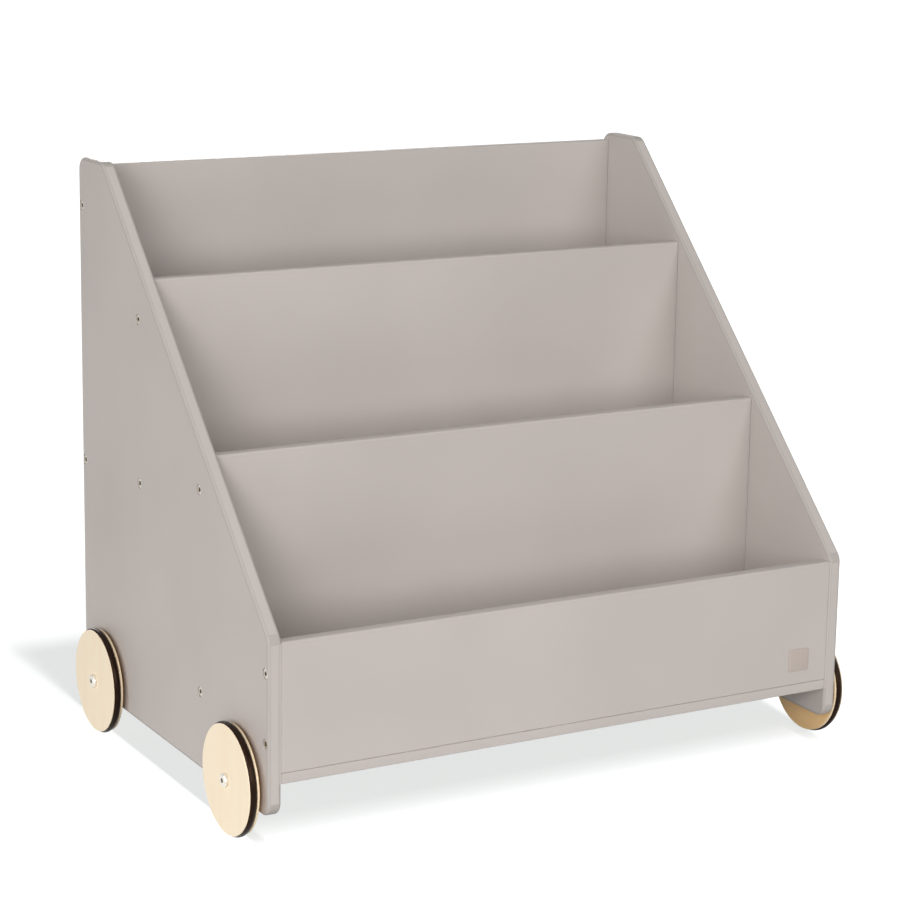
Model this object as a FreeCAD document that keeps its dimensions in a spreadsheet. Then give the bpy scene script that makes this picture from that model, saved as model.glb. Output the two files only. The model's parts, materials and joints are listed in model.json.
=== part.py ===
# Children's book trolley: two shaped side panels carry three stepped book pockets on four plywood wheels.
# Millimetres, +Z up, front towards -Y, origin on the floor under the middle of the trolley. The boards are
# drawn in a frame of their own, with y from the front edge of the side panels and z from their lower edge.
import FreeCAD, Part
import math
import os

import Sketcher

SIZES = {
    # Side panels
    "carcass_width": 566,
    "side_depth": 396,
    "side_height": 491,
    "front_edge_height": 150,
    "top_edge_depth": 55,
    "corner_radius": 12,
    "panel_thickness": 12,
    "edge_rounding": 2.5,
    "joint_easing": 0.6,
    # Boards between the side panels
    "floor_thickness": 9,
    "bottom_board_height": 28,
    "upper_floor_height": 175,
    "front_panel_drop": 3,
    "divider_drop": 6,
    "back_panel_drop": 7,
    # Screws through the side panels, each height from the lower or upper edge of its board
    "front_panel_screw_low": 25,
    "front_panel_screw_high": 26,
    "front_divider_screw_low": 31,
    "front_divider_screw_high": 29,
    "rear_divider_screw_low": 36,
    "rear_divider_screw_high": 35,
    "back_panel_screw_low": 39,
    "back_panel_screw_high": 36.5,
    "screw_length": 50,
    "screw_head_diameter": 9,
    "screw_head_rim": 0.5,
    "screw_neck_diameter": 6,
    "screw_core_diameter": 5,
    "screw_socket_width": 4,
    "screw_socket_depth": 2.4,
    "screw_recess": 0.8,
    "screw_head_clearance": 0.2,
    "pilot_overrun": 2,
    # Dowels between the floors and the side panels
    "dowel_diameter": 5,
    "dowel_in_side": 8,
    "dowel_in_board": 16,
    "dowel_chamfer": 0.6,
    "dowel_end_gap": 0.5,
    "bottom_dowel_inset": 28,
    "upper_dowel_inset": 45,
    # Wheels
    "axle_height": 19,
    "front_axle_setback": 52,
    "rear_axle_setback": 56,
    "tyre_diameter": 96,
    "tyre_width": 6.2,
    "tyre_lip": 0.9,
    "tyre_groove_depth": 2,
    "disc_diameter": 93,
    "disc_thickness": 9.3,
    "disc_arris": 0.5,
    # Axles
    "wheel_end_play": 0.25,
    "bush_diameter": 11,
    "sleeve_diameter": 8,
    "spacer_diameter": 20,
    "spacer_thickness": 4.2,
    "insert_diameter": 10,
    "bolt_diameter": 6,
    "bolt_length": 25,
    "bolt_head_diameter": 12,
    "bolt_head_height": 3,
    "bolt_head_rim": 1.2,
    "bolt_face_diameter": 7.5,
    "bolt_socket_width": 4,
    "bolt_socket_depth": 2,
    "bolt_tip_chamfer": 0.8,
    # Radial gap of a piece in its hole, and of the wheel's bush on its sleeve
    "fit_clearance": 0.05,
}

POCKETS = 3
COUNTERSINK_ANGLE = 90
FULL_TURN = 360
HALF_TURN = 180
HEX_SIDES = 6
ROUNDING_SHARE = 0.45

doc = FreeCAD.newDocument("book_trolley")
sheet = doc.addObject("Spreadsheet::Sheet", "Sizes")
for row, (alias, number) in enumerate(SIZES.items(), 1):
    sheet.set(f"A{row}", alias)
    sheet.set(f"B{row}", str(number))
    sheet.setAlias(f"B{row}", alias)
doc.recompute()

nodes = []


class Size:
    """A length or ratio: its value now, and the expression in the sheet's cells that it follows."""

    def __init__(self, value, text):
        self.value = value
        self.text = text

    def joined(self, other, sign, value):
        text = other.text if isinstance(other, Size) else str(other)
        return Size(value, f"({self.text} {sign} {text})")

    def __add__(self, other):
        return self.joined(other, "+", self.value + other.value)

    def __sub__(self, other):
        return self.joined(other, "-", self.value - other.value)

    def __mul__(self, other):
        return self.joined(other, "*", self.value * getattr(other, "value", other))

    def __truediv__(self, other):
        return self.joined(other, "/", self.value / getattr(other, "value", other))

    def __neg__(self):
        return Size(-self.value, f"(-{self.text})")


ZERO = Size(0, "0")


def size(alias):
    """The size in one named cell."""
    return Size(float(sheet.get(alias)), f"Sizes.{alias}")


def smaller(first, second):
    """The smaller of two sizes."""
    return Size(min(first.value, second.value), f"min({first.text}; {second.text})")


# Sizes and places that follow from the sheet
fit = size("fit_clearance")
thickness = size("panel_thickness")
floor_thickness = size("floor_thickness")
side_depth = size("side_depth")
side_height = size("side_height")
front_edge_height = size("front_edge_height")
half_width = size("carcass_width") / 2
inner_half_width = half_width - thickness
edge_rounding = smaller(size("edge_rounding"), thickness * ROUNDING_SHARE)
joint_easing = size("joint_easing")

board_pitch = (side_depth - thickness) / POCKETS
slope = (side_height - front_edge_height) / (side_depth - size("top_edge_depth"))

wheel_radius = size("tyre_diameter") / 2
axle_height = size("axle_height")
ride_height = wheel_radius - axle_height

screw_radius = size("screw_head_diameter") / 2
screw_neck_radius = size("screw_neck_diameter") / 2
screw_core_radius = size("screw_core_diameter") / 2
screw_recess = size("screw_recess")
screw_seat_depth = screw_recess + size("screw_head_rim") - size("screw_head_clearance")
screw_pilot_depth = screw_recess + size("screw_length") - thickness + size("pilot_overrun")
dowel_radius = size("dowel_diameter") / 2
dowel_depth_in_side = size("dowel_in_side") + size("dowel_end_gap")
dowel_depth_in_board = size("dowel_in_board") + size("dowel_end_gap")
insert_radius = size("insert_diameter") / 2


def origin_plane(body, role):
    """One of the three origin planes of a body."""
    return next(feature for feature in body.Origin.OriginFeatures if feature.Role == role)


def new_sketch(body, name, plane, lift):
    """An empty sketch on a plane of its body's origin, lifted along the plane's normal."""
    sketch = body.newObject("Sketcher::SketchObject", name)
    sketch.AttachmentSupport = [(origin_plane(body, plane), "")]
    sketch.MapMode = "FlatFace"
    sketch.setExpression("AttachmentOffset.Base.z", lift.text)
    return sketch


def pin_point(sketch, geometry, point, across, up):
    """Holds one point of a sketch at a place that follows the sheet."""
    for kind, axis, place in (("DistanceX", -2, across), ("DistanceY", -1, up)):
        if place is ZERO:
            sketch.addConstraint(Sketcher.Constraint("PointOnObject", geometry, point, axis))
        else:
            index = sketch.addConstraint(Sketcher.Constraint(kind, -1, 1, geometry, point, place.value))
            sketch.setExpression(f"Constraints[{index}]", place.text)


def outline_sketch(body, name, plane, corners, lift=ZERO):
    """A closed outline of straight lines through its corners, each a pair of sizes."""
    sketch = new_sketch(body, name, plane, lift)
    points = [FreeCAD.Vector(across.value, up.value, 0) for across, up in corners]
    for start, end in zip(points, points[1:] + points[:1]):
        sketch.addGeometry(Part.LineSegment(start, end), False)
    for index, (across, up) in enumerate(corners):
        following = (index + 1) % len(corners)
        sketch.addConstraint(Sketcher.Constraint("Coincident", index, 2, following, 1))
        pin_point(sketch, index, 1, across, up)
    return sketch


def circle_sketch(body, name, plane, centres, radius, lift=ZERO):
    """Circles of one radius about centres that are pairs of sizes."""
    sketch = new_sketch(body, name, plane, lift)
    for index, (across, up) in enumerate(centres):
        centre = FreeCAD.Vector(across.value, up.value, 0)
        sketch.addGeometry(Part.Circle(centre, FreeCAD.Vector(0, 0, 1), radius.value), False)
        pin_point(sketch, index, 3, across, up)
        radius_index = sketch.addConstraint(Sketcher.Constraint("Radius", index, radius.value))
        sketch.setExpression(f"Constraints[{radius_index}]", radius.text)
    return sketch


def new_body(name):
    """A body with the name of its sub-part."""
    body = doc.addObject("PartDesign::Body", name)
    body.Label = name
    return body


def pad(body, sketch, length, midplane=False):
    """Thickens an outline along its normal."""
    feature = body.newObject("PartDesign::Pad", "blank")
    feature.Profile = sketch
    feature.setExpression("Length", length.text)
    feature.Midplane = midplane
    doc.recompute()
    return feature


def revolve(body, sketch):
    """Turns a half section about the horizontal axis of its sketch."""
    feature = body.newObject("PartDesign::Revolution", "turned")
    feature.Profile = sketch
    feature.ReferenceAxis = (sketch, ["H_Axis"])
    feature.Angle = FULL_TURN
    doc.recompute()
    return feature


def check_cut(body, before):
    """Stops the build when a cut took nothing away, as one that points outwards does."""
    doc.recompute()
    if body.Shape.Volume >= before:
        raise RuntimeError(f"{body.Label}: {body.Tip.Label} cuts nothing")


def bore(body, name, sketch, depth, outwards=False):
    """Sinks the circles or outline of a sketch into the body, against its normal or along it."""
    before = body.Shape.Volume
    feature = body.newObject("PartDesign::Pocket", name)
    feature.Profile = sketch
    feature.setExpression("Length", depth.text)
    feature.Reversed = outwards
    check_cut(body, before)
    return feature


def mirror_ends(body, feature):
    """Repeats a cut at the other end of a board."""
    before = body.Shape.Volume
    mirror = body.newObject("PartDesign::Mirrored", "other_end")
    mirror.Originals = [feature]
    mirror.MirrorPlane = (origin_plane(body, "YZ_Plane"), [""])
    body.Tip = mirror
    check_cut(body, before)


def dress_edges(body, name, kind, width, wanted):
    """Rounds or chamfers the edges that a test picks out of the body as it is now."""
    base = body.Tip
    picked = [f"Edge{index}" for index, edge in enumerate(base.Shape.Edges, 1) if wanted(edge)]
    feature = body.newObject(f"PartDesign::{kind}", name)
    feature.Base = (base, picked)
    feature.setExpression("Radius" if kind == "Fillet" else "Size", width.text)
    doc.recompute()


def round_edges(body, name, radius, wanted):
    """Rounds the chosen edges."""
    dress_edges(body, name, "Fillet", radius, wanted)


def chamfer_edges(body, name, width, wanted):
    """Takes the sharpness off the chosen edges."""
    dress_edges(body, name, "Chamfer", width, wanted)


def runs_along_x(edge):
    """True for a straight edge along the width."""
    return edge.BoundBox.XLength > edge.BoundBox.YLength + edge.BoundBox.ZLength


def lies_across_x(edge):
    """True for an edge in a plane square to the width."""
    return edge.BoundBox.XLength < edge.BoundBox.YLength + edge.BoundBox.ZLength


def is_sharp(edge, shape):
    """True for an edge whose two faces meet at an angle."""
    faces = shape.ancestorsOfType(edge, Part.Face)
    middle = edge.valueAt((edge.FirstParameter + edge.LastParameter) / 2)
    normals = [face.normalAt(*face.Surface.parameter(middle)) for face in faces]
    return len(normals) == 2 and normals[0].getAngle(normals[1]) > math.radians(5)


def place(item, across, depth, height, turn=0):
    """Puts an object at a place that follows the sheet, turned about the vertical."""
    item.Placement = FreeCAD.Placement(FreeCAD.Vector(), FreeCAD.Rotation(FreeCAD.Vector(0, 0, 1), turn))
    for axis, distance in zip("xyz", (across, depth, height)):
        item.setExpression(f"Placement.Base.{axis}", distance.text)


def finish_board(body):
    """Moves a board from its own frame onto the wheels and adds it to the nodes."""
    place(body, ZERO, -(side_depth / 2), ride_height)
    nodes.append(body)


class Board:
    """The place of one upright board or floor in the frame of the boards."""

    def __init__(self, name, front, back, bottom, top):
        self.name = name
        self.front = front
        self.back = back
        self.bottom = bottom
        self.top = top

    def corners(self):
        """The four corners of its cross-section."""
        return [
            (self.front, self.bottom),
            (self.back, self.bottom),
            (self.back, self.top),
            (self.front, self.top),
        ]


def upright(name, place_number, bottom, top):
    """An upright board at one of the evenly spaced places between front and back."""
    front = board_pitch * place_number if place_number else ZERO
    return Board(name, front, front + thickness, bottom, top)


def under_slope(place_number):
    """The height of a divider whose front face stands a little under the sloping edge."""
    return front_edge_height + board_pitch * place_number * slope - size("divider_drop")


bottom_board_height = size("bottom_board_height")
bottom_board_top = bottom_board_height + floor_thickness
upper_floor_height = size("upper_floor_height")
upper_floor_top = upper_floor_height + floor_thickness
front_panel_top = front_edge_height - size("front_panel_drop")
back_panel_top = side_height - size("back_panel_drop")

front_panel = upright("front_panel", 0, bottom_board_top, front_panel_top)
front_divider = upright("front_divider", 1, bottom_board_top, under_slope(1))
rear_divider = upright("rear_divider", 2, upper_floor_top, under_slope(2))
back_panel = upright("back_panel", POCKETS, upper_floor_height, back_panel_top)
bottom_board = Board("bottom_board", ZERO, front_divider.back, bottom_board_height, bottom_board_top)
upper_floor = Board(
    "upper_floor", front_divider.back, back_panel.front, upper_floor_height, upper_floor_top
)
UPRIGHTS = (front_panel, front_divider, rear_divider, back_panel)


def screw_places(board):
    """The two screw centres at one end of an upright board."""
    middle = board.front + thickness / 2
    low = board.bottom + size(f"{board.name}_screw_low")
    high = board.top - size(f"{board.name}_screw_high")
    return [(middle, low), (middle, high)]


def dowel_places(board, inset):
    """The two dowel centres at one end of a floor."""
    middle = board.bottom + floor_thickness / 2
    return [(board.front + inset, middle), (board.back - inset, middle)]


bottom_dowels = dowel_places(bottom_board, size("bottom_dowel_inset"))
upper_dowels = dowel_places(upper_floor, size("upper_dowel_inset"))
front_axle = (size("front_axle_setback"), axle_height)
rear_axle = (side_depth - size("rear_axle_setback"), axle_height)


def build_side_panel(name, left):
    """A side panel: sloping front, round corners and edges, and the holes of all its fasteners."""
    body = new_body(name)
    corners = [
        (ZERO, ZERO),
        (side_depth, ZERO),
        (side_depth, side_height),
        (side_depth - size("top_edge_depth"), side_height),
        (ZERO, front_edge_height),
    ]
    outer = -half_width if left else half_width
    inner = -inner_half_width if left else inner_half_width
    low_face = outer if left else inner
    pad(body, outline_sketch(body, "panel_outline", "YZ_Plane", corners, low_face), thickness)
    round_edges(body, "round_corners", size("corner_radius"), runs_along_x)
    round_edges(body, "round_edges", edge_rounding, lies_across_x)

    centres = [centre for board in UPRIGHTS for centre in screw_places(board)]
    mouth = screw_radius + size("screw_head_clearance")
    sketch = circle_sketch(body, "screw_centres", "YZ_Plane", centres, mouth, outer)
    before = body.Shape.Volume
    hole = body.newObject("PartDesign::Hole", "screw_holes")
    hole.Profile = sketch
    doc.recompute()
    hole.Threaded = False
    hole.Reversed = left
    hole.DepthType = "ThroughAll"
    hole.setExpression("Diameter", ((screw_neck_radius + fit) * 2).text)
    hole.HoleCutType = "Counterdrill"
    hole.HoleCutCustomValues = True
    hole.setExpression("HoleCutDiameter", (mouth * 2).text)
    hole.setExpression("HoleCutDepth", screw_seat_depth.text)
    hole.HoleCutCountersinkAngle = COUNTERSINK_ANGLE
    check_cut(body, before)

    axle_holes = circle_sketch(
        body, "axle_centres", "YZ_Plane", [front_axle, rear_axle], insert_radius + fit, outer
    )
    bore(body, "insert_holes", axle_holes, thickness, outwards=left)
    dowel_holes = circle_sketch(
        body, "dowel_centres", "YZ_Plane", bottom_dowels + upper_dowels, dowel_radius + fit, inner
    )
    bore(body, "dowel_holes", dowel_holes, dowel_depth_in_side, outwards=not left)
    finish_board(body)


def build_board(board, rounded, centres, hole_radius, hole_depth):
    """A board between the side panels, with chosen long edges rounded and holes in both ends."""
    body = new_body(board.name)
    section = outline_sketch(body, "section", "YZ_Plane", board.corners())
    pad(body, section, inner_half_width * 2, midplane=True)
    if rounded:
        round_edges(body, "round_top", edge_rounding, lambda edge: is_top_edge(edge, board))
    shape = body.Tip.Shape
    chamfer_edges(body, "ease_arrises", joint_easing, lambda edge: is_sharp(edge, shape))
    ends = circle_sketch(body, "end_centres", "YZ_Plane", centres, hole_radius + fit, inner_half_width)
    mirror_ends(body, bore(body, "end_holes", ends, hole_depth))
    finish_board(body)


def is_top_edge(edge, board):
    """True for the two long edges at the top of a board."""
    return runs_along_x(edge) and edge.CenterOfMass.z > (board.bottom.value + board.top.value) / 2


build_side_panel("side_panel_left", left=True)
build_side_panel("side_panel_right", left=False)
for upright_board in UPRIGHTS:
    pilot_centres = screw_places(upright_board)
    build_board(upright_board, True, pilot_centres, screw_core_radius, screw_pilot_depth)
build_board(bottom_board, False, bottom_dowels, dowel_radius, dowel_depth_in_board)
build_board(upper_floor, False, upper_dowels, dowel_radius, dowel_depth_in_board)


def turned_piece(name, half_section):
    """A round piece about its own X axis, from a half section of pairs along and out from the axis."""
    body = new_body(name)
    revolve(body, outline_sketch(body, "half_section", "XY_Plane", half_section))
    return body


def ring_section(length, inside, outside):
    """The half section of a plain ring or tube."""
    return [(ZERO, inside), (length, inside), (length, outside), (ZERO, outside)]


def cut_socket(body, width, depth):
    """A hexagon socket in the face at the start of a fastener."""
    before = body.Shape.Volume
    socket = body.newObject("PartDesign::SubtractivePrism", "hex_socket")
    socket.AttachmentSupport = [(origin_plane(body, "YZ_Plane"), "")]
    socket.MapMode = "FlatFace"
    socket.Polygon = HEX_SIDES
    corner_radius = width / 2 / math.cos(math.pi / HEX_SIDES)
    socket.setExpression("Circumradius", corner_radius.text)
    socket.setExpression("Height", depth.text)
    check_cut(body, before)


def panel_screw():
    """The connector screw: countersunk head, neck through the side panel, core in the board."""
    rim = size("screw_head_rim")
    cone_end = rim + screw_radius - screw_neck_radius
    neck_end = thickness - screw_recess * 2
    length = size("screw_length")
    body = turned_piece(
        "panel_screw",
        [
            (ZERO, ZERO),
            (ZERO, screw_radius),
            (rim, screw_radius),
            (cone_end, screw_neck_radius),
            (neck_end, screw_neck_radius),
            (neck_end + screw_neck_radius - screw_core_radius, screw_core_radius),
            (length, screw_core_radius),
            (length, ZERO),
        ],
    )
    cut_socket(body, size("screw_socket_width"), size("screw_socket_depth"))
    return body


def dowel():
    """The dowel: a beech pin with chamfered ends, half in the side panel and half in the board."""
    length = size("dowel_in_side") + size("dowel_in_board")
    chamfer = size("dowel_chamfer")
    return turned_piece(
        "dowel",
        [
            (ZERO, ZERO),
            (ZERO, dowel_radius - chamfer),
            (chamfer, dowel_radius),
            (length - chamfer, dowel_radius),
            (length, dowel_radius - chamfer),
            (length, ZERO),
        ],
    )


def fastener_group(name, fastener, centres, start):
    """Copies of a fastener at both ends of a board, each pointing inwards from its starting plane."""
    links = []
    for across, turn in ((-start, 0), (start, HALF_TURN)):
        for depth, height in centres:
            link = doc.addObject("App::Link", f"{name}_{len(links) + 1}")
            link.LinkedObject = fastener
            place(link, across, depth - side_depth / 2, height + ride_height, turn)
            links.append(link)
    group = doc.addObject("Part::Compound", name)
    group.Label = name
    group.Links = links
    nodes.append(group)


screw = panel_screw()
for upright_board in UPRIGHTS:
    screw_head_plane = half_width - screw_recess
    fastener_group(f"{upright_board.name}_screws", screw, screw_places(upright_board), screw_head_plane)
floor_dowel = dowel()
dowel_start = inner_half_width + size("dowel_in_side")
fastener_group("bottom_board_dowels", floor_dowel, bottom_dowels, dowel_start)
fastener_group("upper_floor_dowels", floor_dowel, upper_dowels, dowel_start)


# The wheel and its axle, stacked outwards from the side panel
end_play = size("wheel_end_play")
disc_thickness = size("disc_thickness")
spacer_thickness = size("spacer_thickness")
disc_gap = spacer_thickness + end_play
sleeve_length = disc_gap + disc_thickness + end_play
disc_radius = size("disc_diameter") / 2
groove_radius = disc_radius - size("tyre_groove_depth")
bolt_radius = size("bolt_diameter") / 2
sleeve_radius = size("sleeve_diameter") / 2
bush_radius = size("bush_diameter") / 2
tyre_start = size("tyre_lip") + fit
tyre_end = tyre_start + size("tyre_width")


def wheel_disc(name):
    """The plywood disc: a bore for the bush, and a groove near one face for the rubber ring."""
    groove_start = size("tyre_lip")
    groove_end = tyre_end + fit
    inside = bush_radius + fit
    body = turned_piece(
        name,
        [
            (ZERO, inside),
            (ZERO, disc_radius),
            (groove_start, disc_radius),
            (groove_start, groove_radius),
            (groove_end, groove_radius),
            (groove_end, disc_radius),
            (disc_thickness, disc_radius),
            (disc_thickness, inside),
        ],
    )
    faces = (0, disc_thickness.value)
    chamfer_edges(body, "ease_rim", size("disc_arris"), lambda edge: is_rim(edge, disc_radius, faces))
    return body


def is_rim(edge, radius, planes):
    """True for a circular edge of one radius in one of some planes square to the axis."""
    if not isinstance(edge.Curve, Part.Circle) or not math.isclose(edge.Curve.Radius, radius.value):
        return False
    return any(math.isclose(edge.Curve.Center.x, plane, abs_tol=1e-6) for plane in planes)


def tyre(name):
    """The rubber ring: flat sides down in the groove, and a half-round crown that meets the floor."""
    body = new_body(name)
    sketch = new_sketch(body, "half_section", "XY_Plane", ZERO)
    crown_radius = (tyre_end - tyre_start) / 2
    crown_centre = (tyre_start + crown_radius, wheel_radius - crown_radius)
    corners = [
        (tyre_end, crown_centre[1]),
        (tyre_end, groove_radius + fit),
        (tyre_start, groove_radius + fit),
        (tyre_start, crown_centre[1]),
    ]
    points = [FreeCAD.Vector(across.value, up.value, 0) for across, up in corners]
    for start, end in zip(points, points[1:]):
        sketch.addGeometry(Part.LineSegment(start, end), False)
    middle = FreeCAD.Vector(crown_centre[0].value, crown_centre[1].value, 0)
    circle = Part.Circle(middle, FreeCAD.Vector(0, 0, 1), crown_radius.value)
    arc = sketch.addGeometry(Part.ArcOfCircle(circle, 0, math.pi), False)
    for index, (across, up) in enumerate(corners[:-1]):
        pin_point(sketch, index, 1, across, up)
    for first, first_end, second, second_end in ((0, 2, 1, 1), (1, 2, 2, 1), (2, 2, arc, 2), (arc, 1, 0, 1)):
        sketch.addConstraint(Sketcher.Constraint("Coincident", first, first_end, second, second_end))
    pin_point(sketch, arc, 3, *crown_centre)
    sketch.addConstraint(Sketcher.Constraint("Horizontal", 0, 1, 2, 2))
    revolve(body, sketch)
    return body


def axle_bolt(name):
    """The axle bolt: domed head with a hexagon socket, and a shank that reaches into the side panel."""
    head = size("bolt_head_height")
    head_radius = size("bolt_head_diameter") / 2
    rim_start = head - size("bolt_head_rim")
    end = head + size("bolt_length")
    chamfer = size("bolt_tip_chamfer")
    body = turned_piece(
        name,
        [
            (ZERO, ZERO),
            (ZERO, size("bolt_face_diameter") / 2),
            (rim_start, head_radius),
            (head, head_radius),
            (head, bolt_radius),
            (end - chamfer, bolt_radius),
            (end, bolt_radius - chamfer),
            (end, ZERO),
        ],
    )
    cut_socket(body, size("bolt_socket_width"), size("bolt_socket_depth"))
    return body


def build_wheel(corner, left, axle):
    """One wheel and the axle that carries it, at one corner of the trolley."""
    depth = axle[0] - side_depth / 2
    sleeve_section = ring_section(sleeve_length, bolt_radius + fit, sleeve_radius)
    bush_section = ring_section(disc_thickness, sleeve_radius + fit, bush_radius)
    spacer_radius = size("spacer_diameter") / 2
    spacer_section = ring_section(spacer_thickness, sleeve_radius + fit, spacer_radius)
    insert_section = ring_section(thickness, bolt_radius + fit, insert_radius)
    outer_face = half_width + disc_gap + disc_thickness
    disc_place = -outer_face if left else outer_face
    bolt_place = half_width + sleeve_length + size("bolt_head_height")
    facing = 0 if left else HALF_TURN
    stack = [
        (wheel_disc(f"wheel_disc_{corner}"), disc_place, facing),
        (tyre(f"tyre_{corner}"), disc_place, facing),
        (turned_piece(f"wheel_bush_{corner}", bush_section), disc_place, facing),
        (
            turned_piece(f"axle_sleeve_{corner}", sleeve_section),
            -(half_width + sleeve_length) if left else half_width,
            0,
        ),
        (
            turned_piece(f"axle_spacer_{corner}", spacer_section),
            -(half_width + spacer_thickness) if left else half_width,
            0,
        ),
        (
            turned_piece(f"axle_insert_{corner}", insert_section),
            -half_width if left else inner_half_width,
            0,
        ),
        (
            axle_bolt(f"axle_bolt_{corner}"),
            -bolt_place if left else bolt_place,
            facing,
        ),
    ]
    for body, across, turn in stack:
        place(body, across, depth, wheel_radius, turn)
        nodes.append(body)


for corner_name, on_left, axle_centre in (
    ("front_left", True, front_axle),
    ("front_right", False, front_axle),
    ("rear_left", True, rear_axle),
    ("rear_right", False, rear_axle),
):
    build_wheel(corner_name, on_left, axle_centre)

doc.recompute()
for item in doc.Objects:
    if "Invalid" in item.State or "Error" in item.State:
        raise RuntimeError(f"{item.Label} did not build: {item.State}")
for item in nodes:
    if item.Shape.isNull() or not item.Shape.isValid():
        raise RuntimeError(f"{item.Label} has no valid shape")

os.makedirs("parts", exist_ok=True)
for item in nodes:
    item.Shape.exportStep(f"parts/{item.Label}.step")
print(f"{len(nodes)} nodes")
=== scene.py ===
"""Blender dressing of a children's book trolley: lacquered MDF boards on plywood wheels with rubber rings."""
import json
import logging
import math
from dataclasses import dataclass
from enum import Enum
from functools import partial
from typing import Any, Callable, Sequence

import bmesh
import bpy
from mathutils import Matrix, Vector

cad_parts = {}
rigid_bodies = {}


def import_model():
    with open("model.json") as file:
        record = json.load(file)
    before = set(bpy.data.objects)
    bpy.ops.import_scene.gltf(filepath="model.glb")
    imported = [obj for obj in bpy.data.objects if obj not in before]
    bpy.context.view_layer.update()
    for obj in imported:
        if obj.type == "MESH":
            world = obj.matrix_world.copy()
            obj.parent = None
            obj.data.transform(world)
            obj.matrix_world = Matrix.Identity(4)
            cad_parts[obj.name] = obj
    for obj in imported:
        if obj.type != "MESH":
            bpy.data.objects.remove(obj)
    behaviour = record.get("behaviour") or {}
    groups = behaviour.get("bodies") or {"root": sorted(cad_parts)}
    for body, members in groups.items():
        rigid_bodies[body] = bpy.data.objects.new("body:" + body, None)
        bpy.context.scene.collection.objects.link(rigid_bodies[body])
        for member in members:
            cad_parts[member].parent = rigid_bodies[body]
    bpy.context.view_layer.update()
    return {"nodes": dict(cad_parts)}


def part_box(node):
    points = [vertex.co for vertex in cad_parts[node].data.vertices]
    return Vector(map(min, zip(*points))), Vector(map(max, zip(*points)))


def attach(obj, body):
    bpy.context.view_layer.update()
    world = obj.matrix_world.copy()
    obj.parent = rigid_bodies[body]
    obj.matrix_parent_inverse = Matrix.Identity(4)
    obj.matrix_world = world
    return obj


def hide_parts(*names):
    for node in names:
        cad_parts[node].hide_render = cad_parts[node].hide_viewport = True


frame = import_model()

LOG = logging.getLogger("book_trolley")
ROOT_BODY = "carcass"
CORNERS = ("front_left", "front_right", "rear_left", "rear_right")
MM = 0.001
WHITE = (1.0, 1.0, 1.0, 1.0)

# Sockets of the Mix node when it mixes colours
MIX_FACTOR, MIX_A, MIX_B, MIX_RESULT = 0, 6, 7, 2
# Sockets of the Random Value node when it makes plain numbers
RANDOM_MIN, RANDOM_MAX, RANDOM_RESULT = 2, 3, 1


class Side(Enum):
    """The two sides of the trolley, valued by the sign of their X."""

    LEFT = -1
    RIGHT = 1


def linear(hex_colour: str) -> tuple[float, float, float, float]:
    """Turns an sRGB hex colour into the linear colour that shaders take.

    Args:
        hex_colour: the colour as #RRGGBB.

    Returns:
        Red, green, blue and an alpha of 1.
    """
    parts = [int(hex_colour[start:start + 2], 16) / 255 for start in (1, 3, 5)]
    red, green, blue = [p / 12.92 if p <= 0.04045 else ((p + 0.055) / 1.055) ** 2.4 for p in parts]
    return red, green, blue, 1.0


def add_node(tree: bpy.types.NodeTree, kind: str, inputs: dict | None = None, **settings: Any) -> bpy.types.Node:
    """Adds a node with its settings, and sets or links its inputs.

    Args:
        tree: the tree that the node goes into.
        kind: the node's type name.
        inputs: socket names or numbers, each with a value or with the output socket that feeds it.
        settings: the node's own properties.

    Returns:
        The new node.
    """
    node = tree.nodes.new(kind)
    for name, value in settings.items():
        setattr(node, name, value)
    for socket, value in (inputs or {}).items():
        if isinstance(value, bpy.types.NodeSocket):
            tree.links.new(value, node.inputs[socket])
        else:
            node.inputs[socket].default_value = value
    return node


# The same function once it is bound to a tree
AddNode = Callable[..., bpy.types.Node]


def empty_tree(owner: bpy.types.Material | bpy.types.World) -> AddNode:
    """Gives a material or a world a tree with no nodes.

    Args:
        owner: the material or the world.

    Returns:
        The function that adds a node to that tree.
    """
    owner.use_nodes = True
    owner.node_tree.nodes.clear()
    return partial(add_node, owner.node_tree)


def link_object(name: str, data: bpy.types.ID) -> bpy.types.Object:
    """Puts a mesh, a lamp or a camera into the scene.

    Args:
        name: the object's name.
        data: the mesh, lamp or camera.

    Returns:
        The object, at the origin.
    """
    item = bpy.data.objects.new(name, data)
    bpy.context.scene.collection.objects.link(item)
    return item


def finish_piece(piece: bpy.types.Object, body: str, nodes: Sequence[str] = ()) -> None:
    """Tells the frame what a piece rides on and which nodes it stands for.

    Args:
        piece: the finished piece.
        body: the body that it moves with.
        nodes: the CAD nodes that it replaces.
    """
    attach(piece, body)
    if nodes:
        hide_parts(*nodes)
    LOG.info("%s rides on %s: %d faces", piece.name, body, len(piece.data.polygons))


# Shapes


def merged_shape(mesh: bpy.types.Mesh, distance: float) -> bmesh.types.BMesh:
    """Reads a mesh and merges its doubled points.

    Args:
        mesh: the mesh.
        distance: how far apart two points are that still count as one.

    Returns:
        The merged shape.
    """
    shape = bmesh.new()
    shape.from_mesh(mesh)
    bmesh.ops.remove_doubles(shape, verts=shape.verts, dist=distance)
    return shape


def end_shape(shape: bmesh.types.BMesh, mesh: bpy.types.Mesh) -> bpy.types.Mesh:
    """Writes a shape into a mesh, with its faces pointing outwards.

    Args:
        shape: the shape, which is let go of.
        mesh: the mesh that takes it.

    Returns:
        The same mesh.
    """
    bmesh.ops.recalc_face_normals(shape, faces=shape.faces)
    shape.to_mesh(mesh)
    shape.free()
    return mesh


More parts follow.
